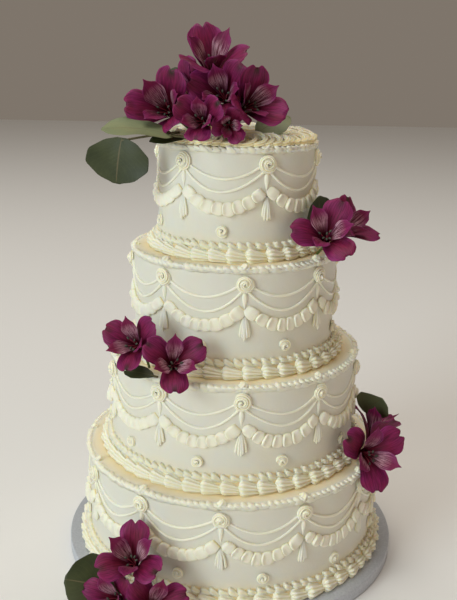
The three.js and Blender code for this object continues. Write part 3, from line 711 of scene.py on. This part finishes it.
# A head: the stem, six tepals of which the inner ones nearest the top are palest, and six stamens that
# droop a little, each with an anther laid on its end.
def flowerPiece(name, flower, seed):
    rng = np.random.default_rng(seed)
    axis, toward = flowerFrame(flower)
    base, size = np.array(flower["base"], float), flower["size"]
    upward = max(range(6), key=lambda k: toward(60 * k)[2])
    solids = [stemSolid(flower)]
    for k in range(6):
        away = min((k - upward) % 6, (upward - k) % 6)
        kind = innerTepal if k % 2 else outerTepal
        pale = 0.0 if kind["lobed"] else 1.0 if away <= 2 else 0.25
        solids.append(tepal(flower, kind, 60 * k, rng, pale))
    meshFrom(name.replace("flower", "bloom"), solids, petalSkin, name)
    stamens = []
    for k in range(6):
        out = toward(60 * k + 30 + rng.uniform(-12, 12))
        reach = (stamen["reach"] + rng.uniform(-3, 4)) * size
        droop = np.array([0, 0, -1.0]) * rng.uniform(1, 5)
        middle = base + axis * reach * 0.55 + out * 1.5
        tip = base + axis * reach + out * rng.uniform(3, 7) + droop
        lie = unit(out + 0.6 * axis) * stamen["lie"]
        filament = thread([base, middle, tip], [stamen["thick"]] * 9)
        anther = thread([tip - lie, tip, tip + lie], stamen["anther"], 8)
        stamens += [solid(filament, dark=0.0), solid(anther, dark=1.0)]
    meshFrom(name.replace("flower", "stamens"), stamens, stamenSkin, name)


# Tepals darken to wine in the throat and lighten to magenta at the tip, with veins that run lengthways. Their
# margins are lighter lilac, partly the tepal's own colour and partly a painted highlight.
petalLook = dict(
    body=[(0.0, (0.05, 0.003, 0.008)), (0.35, (0.13, 0.006, 0.026)), (0.7, (0.23, 0.013, 0.085)),
          (1.0, (0.27, 0.022, 0.13))],
    edge=(0.38, 0.06, 0.30), ruby=(0.22, 0.01, 0.03), streak=(0.68, 0.42, 0.50), fleck=(0.03, 0.004, 0.012),
    mark=(0.025, 0.02, 0.008), stem=(0.10, 0.13, 0.035), stretch=(9, 1.6, 40), veins=2.2, flecks=1.3,
)


def petalMaterial():
    material, tree, shader = newMaterial("petalSkin")
    along, across, pale, tone, green = (attribute(tree, key)
                                        for key in ("along", "across", "pale", "tone", "green"))
    fine, patches = grain(tree, 700, 55)
    flow = tree.nodes.new("ShaderNodeCombineXYZ")
    for socket, value, stretch in zip(flow.inputs, (across, along, tone), petalLook["stretch"]):
        tree.links.new(times(tree, value, stretch), socket)
    veins = texture(tree, "Noise", flow.outputs[0], Scale=petalLook["veins"], Detail=5).outputs["Fac"]
    spots = texture(tree, "Voronoi", flow.outputs[0], Scale=petalLook["flecks"]).outputs["Distance"]
    side = maths(tree, "ABSOLUTE", across)
    # lighter lilac margins: partly the tepal's colour, partly painted highlight
    edge = times(tree, maths(tree, "POWER", side, 3), 0.35)
    body = mixColour(tree, edge, ramp(tree, along, petalLook["body"]), petalLook["edge"])
    body = mixColour(tree, ramp(tree, patches, [(0.4, 0.0), (0.75, 0.7)]), body, petalLook["ruby"])
    lines = ramp(tree, veins, [(0.35, 0.25), (0.62, 1.0)])
    body = mixColour(tree, 0.75, body, lines, mode="MULTIPLY")
    # pale streaks with dark flecks on the inner tepals
    place = ramp(tree, along, [(0.26, 0.0), (0.44, 1.0), (0.60, 1.0), (0.80, 0.0)])
    streak = ramp(tree, veins, [(0.42, 0.0), (0.58, 1.0)])
    blotch = ramp(tree, patches, [(0.36, 0.15), (0.58, 1.0)])
    body = mixColour(tree, times(tree, place, streak, blotch, pale, 0.85), body, petalLook["streak"])
    fleck = ramp(tree, spots, [(0.20, 1.0), (0.30, 0.0)])
    body = mixColour(tree, times(tree, fleck, place, pale), body, petalLook["fleck"])
    # green-black mark where the midrib of an outer tepal ends, stronger on some than on others
    tip = ramp(tree, along, [(0.80, 0.0), (0.96, 1.0)])
    centre = ramp(tree, side, [(0.12, 1.0), (0.34, 0.0)])
    outerOnly = maths(tree, "SUBTRACT", 1.0, times(tree, pale, 4))
    outerOnly.node.use_clamp = True
    strength = ramp(tree, tone, [(0.3, 0.15), (0.8, 0.9)])
    body = mixColour(tree, times(tree, tip, centre, outerOnly, strength), body, petalLook["mark"])
    tree.links.new(mixColour(tree, green, body, petalLook["stem"]), shader.inputs["Base Color"])
    bumpNormal(tree, shader, mixColour(tree, 0.3, veins, fine), 0.22, 0.0006)
    setInputs(shader, {"Roughness": 0.52, "Specular IOR Level": 0.2, "Subsurface Weight": 0.12,
                       "Subsurface Radius": (1.0, 0.2, 0.5), "Subsurface Scale": 0.001})
    return material


# Wine filaments, and anthers dusted dark grey-green.
def stamenMaterial():
    material, tree, shader = newMaterial("stamenSkin")
    fine, _ = grain(tree, 1500, 60)
    dust = ramp(tree, fine, [(0.35, (0.03, 0.035, 0.03)), (0.7, (0.10, 0.11, 0.07))])
    colour = mixColour(tree, attribute(tree, "dark"), (0.42, 0.06, 0.10), dust)
    tree.links.new(colour, shader.inputs["Base Color"])
    bumpNormal(tree, shader, fine, 0.4, 0.0003)
    setInputs(shader, {"Roughness": 0.6})
    return material


petalSkin, stamenSkin = petalMaterial(), stamenMaterial()
for number, (name, flower) in enumerate(flowers.items()):
    flowerPiece(name, flower, 900 + number)
print("flowers opened")

# Leaves: root of the stalk, base, tip, the way the face looks, bend along the middle, half width, and
# how far the green goes from dark to pale; this paleness is partly the leaf's own green and partly painted
# light, set per leaf to how brightly it is lit.
leaves = dict(
    leaf_top_1=dict(root=(-45.8, -70.4, 446.4), base=(-58.5, -79.1, 447.4), tip=(-122.1, -83.6, 453),
                    up=(0.06, -0.25, 1.02), bend=7, width=26, pale=0.9),
    leaf_top_2=dict(root=(-54, -47, 448.5), base=(-108, -52, 443), tip=(-114, -54, 400),
                    up=(-0.15, -0.9, 0.3), bend=5, width=31, pale=0.0),
    leaf_top_3=dict(root=(-40.4, 20.2, 441), base=(-48, 24, 462), tip=(-66, 28, 506),
                    up=(-0.25, -0.9, 0.3), bend=-6, width=23, pale=0.0),
    leaf_top_4=dict(root=(8.2, -47.5, 447.9), base=(18, -50.7, 448.6), tip=(49.8, -37.9, 463.5),
                    up=(-0.36, -0.81, 0.59), bend=5, width=15, pale=0.9),
    leaf_top_5=dict(root=(-39.5, -64.4, 446.2), base=(-49.1, -69.9, 444.8), tip=(-79.4, -80.8, 442.5),
                    up=(-0.02, -0.44, 0.9), bend=3, width=9, pale=0.0),
    leaf_right=dict(root=(90, -34, 333), base=(88, -38, 346), tip=(79, -52, 391),
                    up=(0.45, -0.85, 0.1), bend=-6, width=17, pale=0.1),
    leaf_left_1=dict(root=(-101, -64, 227), base=(-102, -68, 240), tip=(-110, -78, 271),
                     up=(-0.4, -0.85, 0.2), bend=-4, width=10, pale=0.8),
    leaf_left_2=dict(root=(-101.8, -70.5, 227), base=(-106, -78, 236), tip=(-118, -88, 264),
                     up=(-0.5, -0.8, 0.2), bend=-4, width=14, pale=0.1),
    leaf_left_3=dict(root=(-70, -113, 227.6), base=(-74, -114, 228.6), tip=(-103, -104, 229),
                     up=(0, -0.35, 0.95), bend=3, width=9, pale=0.0),
    leaf_low=dict(root=(154.2, -10.3, 124.1), base=(140.5, -22.4, 156.4), tip=(156.5, -33.8, 176.8),
                  up=(0.07, -1.11, 0.13), bend=-5, width=20, pale=0.55),
    leaf_foot=dict(root=(-100, -146, 16), base=(-104, -148, 22), tip=(-156, -156, 38),
                   up=(0.25, -0.7, 0.65), bend=6, width=28, pale=0.0),
)
blade = dict(at=(0, 0.08, 0.34, 0.64, 0.9, 1), share=(0.1, 0.5, 0.95, 1, 0.58, 0.06), fold=0.1, wave=0.07,
             rib=0.03, thick=0.7, stalk=1.1, rows=26, half=8)


# A leaf: a quadratic curve from base to tip, folded along its midrib, its edge waving gently.
def leafPiece(name, leaf, seed):
    rng = np.random.default_rng(seed)
    root, base, tip, facing = (np.array(leaf[key], float) for key in ("root", "base", "tip", "up"))
    facing = unit(facing)
    middle = 0.5 * (base + tip) + facing * leaf["bend"]
    s = np.linspace(0, 1, blade["rows"])[:, None]
    spine = (1 - s) ** 2 * base + 2 * s * (1 - s) * middle + s ** 2 * tip
    run = unit(np.gradient(spine, axis=0))
    across = unit(np.cross(run, facing))
    normal = np.cross(across, run)
    loop = ring(4 * blade["half"])
    w, face = np.cos(loop)[None, :], np.sin(loop)[None, :]
    half = leaf["width"] * smoothSteps(s, blade["at"], blade["share"])
    wave = blade["wave"] * np.sin(7 * s + rng.uniform(0, 6)) * np.abs(w) * w
    rib = blade["rib"] * np.exp(-(w / 0.07) ** 2) * (1 - s)
    thick = blade["thick"] * np.clip(1 - w ** 2, 0, 1) ** 0.5
    offset = half * (blade["fold"] * np.abs(w) ** 1.3 + wave + rib) + 0.5 * thick * face
    points = spine[:, None] + (w * half)[..., None] * across[:, None] + offset[..., None] * normal[:, None]
    stalk = thread([root, 0.5 * (root + base), base + run[0] * 3], [blade["stalk"]] * 12, 8)
    solids = [solid(points[None], along=s, across=w, pale=leaf["pale"]),
              solid(stalk, along=0.0, across=0.0, pale=leaf["pale"])]
    meshFrom(name.replace("leaf", "blade"), solids, leafSkin, name)


leafLook = dict(dark=((0.032, 0.042, 0.014), (0.052, 0.062, 0.020)),
                pale=((0.19, 0.235, 0.125), (0.25, 0.27, 0.135)),
                vein=(0.09, 0.11, 0.045), midrib=(0.15, 0.12, 0.06))


# Veins slant from the midrib to the edge: a zigzag of 9 along less 4.5 across.
def leafMaterial():
    material, tree, shader = newMaterial("leafSkin")
    fine, patches = grain(tree, 600, 45)
    side = maths(tree, "ABSOLUTE", attribute(tree, "across"))
    slanted = maths(tree, "SUBTRACT", times(tree, attribute(tree, "along"), 9), times(tree, side, 4.5))
    veins = maths(tree, "PINGPONG", slanted, 0.5)
    mottle = ramp(tree, patches, patchy)
    dark, light = (mixColour(tree, mottle, *leafLook[key]) for key in ("dark", "pale"))
    # per-leaf paleness: partly the leaf's own green, partly painted light
    colour = mixColour(tree, attribute(tree, "pale"), dark, light)
    colour = mixColour(tree, ramp(tree, veins, [(0.0, 0.3), (0.05, 0.0)]), colour, leafLook["vein"])
    colour = mixColour(tree, ramp(tree, side, [(0.012, 0.7), (0.035, 0.0)]), colour, leafLook["midrib"])
    tree.links.new(colour, shader.inputs["Base Color"])
    bumpNormal(tree, shader, mixColour(tree, 0.5, veins, fine), 0.2, 0.0006)
    setInputs(shader, {"Roughness": 0.5, "Specular IOR Level": 0.35})
    return material


leafSkin = leafMaterial()
for number, (name, leaf) in enumerate(leaves.items()):
    leafPiece(name, leaf, 950 + number)
print("leaves laid")

# Board: a drum of foil-covered card with a rounded edge. The foil's embossing is a pattern of cells.
board = dict(round=1.2, angles=240, cells=420, low=(0.47, 0.50, 0.56), high=(0.58, 0.61, 0.67))


def foilMaterial():
    material, tree, shader = newMaterial("boardFoil")
    place = tree.nodes.new("ShaderNodeTexCoord").outputs["Object"]
    cells = texture(tree, "Voronoi", place, Scale=board["cells"]).outputs["Distance"]
    colour = ramp(tree, cells, [(0.0, board["low"]), (1.0, board["high"])])
    tree.links.new(colour, shader.inputs["Base Color"])
    bumpNormal(tree, shader, cells, 0.15, 0.0004)
    setInputs(shader, {"Metallic": 0.3, "Roughness": 0.4})
    return material


def boardPiece():
    radius, thick, bend = cake["boardRadius"], cake["boardThick"], board["round"]
    turn = np.linspace(0, math.pi / 2, 5)
    low = np.stack([radius - bend + bend * np.sin(turn), bend - bend * np.cos(turn)], -1)
    high = np.stack([radius - bend + bend * np.cos(turn), thick - bend + bend * np.sin(turn)], -1)
    under, over = [[0.01, 0], [radius * 0.7, 0]], [[radius * 0.8, thick], [0.01, thick]]
    profile = np.concatenate([under, low, high, over])
    points = around(ring(board["angles"])[None, :], profile[:, :1], profile[:, 1:])
    meshFrom("board", [solid(points[None])], foilMaterial(), "cake_board")


boardPiece()
print("board made")

# Camera, floor and lights, in metres and degrees
view = dict(place=(0, -0.8405, 0.5173), pitch=15.51, roll=1.04, lens=49.87, sensor=36,
            shift=(-0.00983, -0.01983))
lights = dict(
    window=dict(place=(-3.72, -3.48, 2.17), target=(0, 0, 0.25), size=2.64, power=158,
                colour=(0.87, 0.98, 1.0)),
    room=dict(place=(3.84, -3.36, 1.4), target=(0, 0, 0.2), size=3.84, power=19, colour=(1.0, 0.64, 0.38)),
    ceiling=dict(place=(-0.36, 0.18, 3.8), target=(0, 0, 0.2), size=2.5, power=68, colour=(1.0, 0.95, 0.86)),
)
surround = dict(half=6.0, floor=(0.85, 0.85, 0.85, 1), rough=0.8, air=(1.0, 0.85, 0.70, 1), glow=0.21)


# A matrix with the given three axes and place.
def placed(x, y, z, place):
    return Matrix([*np.stack([x, y, z, place], -1).tolist(), [0, 0, 0, 1]])


def setCamera():
    pitch, roll = math.radians(view["pitch"]), math.radians(view["roll"])
    forward = np.array([0, math.cos(pitch), -math.sin(pitch)])
    right = np.array([1.0, 0, 0])
    up = np.cross(right, forward)
    x = math.cos(roll) * right + math.sin(roll) * up
    y = -math.sin(roll) * right + math.cos(roll) * up
    data = bpy.data.cameras.new("camera")
    data.sensor_width, data.lens = view["sensor"], view["lens"]
    data.shift_x, data.shift_y = view["shift"]
    camera = addObject("camera", data)
    camera.matrix_world = placed(x, y, -forward, view["place"])
    bpy.context.scene.camera = camera


def areaLight(name, place, target, size, power, colour):
    data = bpy.data.lights.new(name, "AREA")
    data.energy, data.size, data.color = power, size, colour
    z = unit(np.array(place) - np.array(target))
    x = unit(np.cross([0.01, 0, 1.0], z))
    addObject(name, data).matrix_world = placed(x, np.cross(z, x), z, place)


def setStage():
    half = surround["half"]
    mesh = bpy.data.meshes.new("floor")
    corners = [(-half, -half, 0), (half, -half, 0), (half, half, 0), (-half, half, 0)]
    mesh.from_pydata(corners, [], [(0, 1, 2, 3)])
    floor = addObject("floor", mesh)
    material, _, shader = newMaterial("floorPaint")
    setInputs(shader, {"Base Color": surround["floor"], "Roughness": surround["rough"]})
    mesh.materials.append(material)
    world = bpy.data.worlds.new("world")
    bpy.context.scene.world = world
    world.use_nodes = True
    setInputs(world.node_tree.nodes["Background"], {"Color": surround["air"], "Strength": surround["glow"]})
    for name, light in lights.items():
        areaLight(name, **light)
    bpy.context.scene.view_settings.view_transform = "Standard"


setCamera()
setStage()
print("scene built")
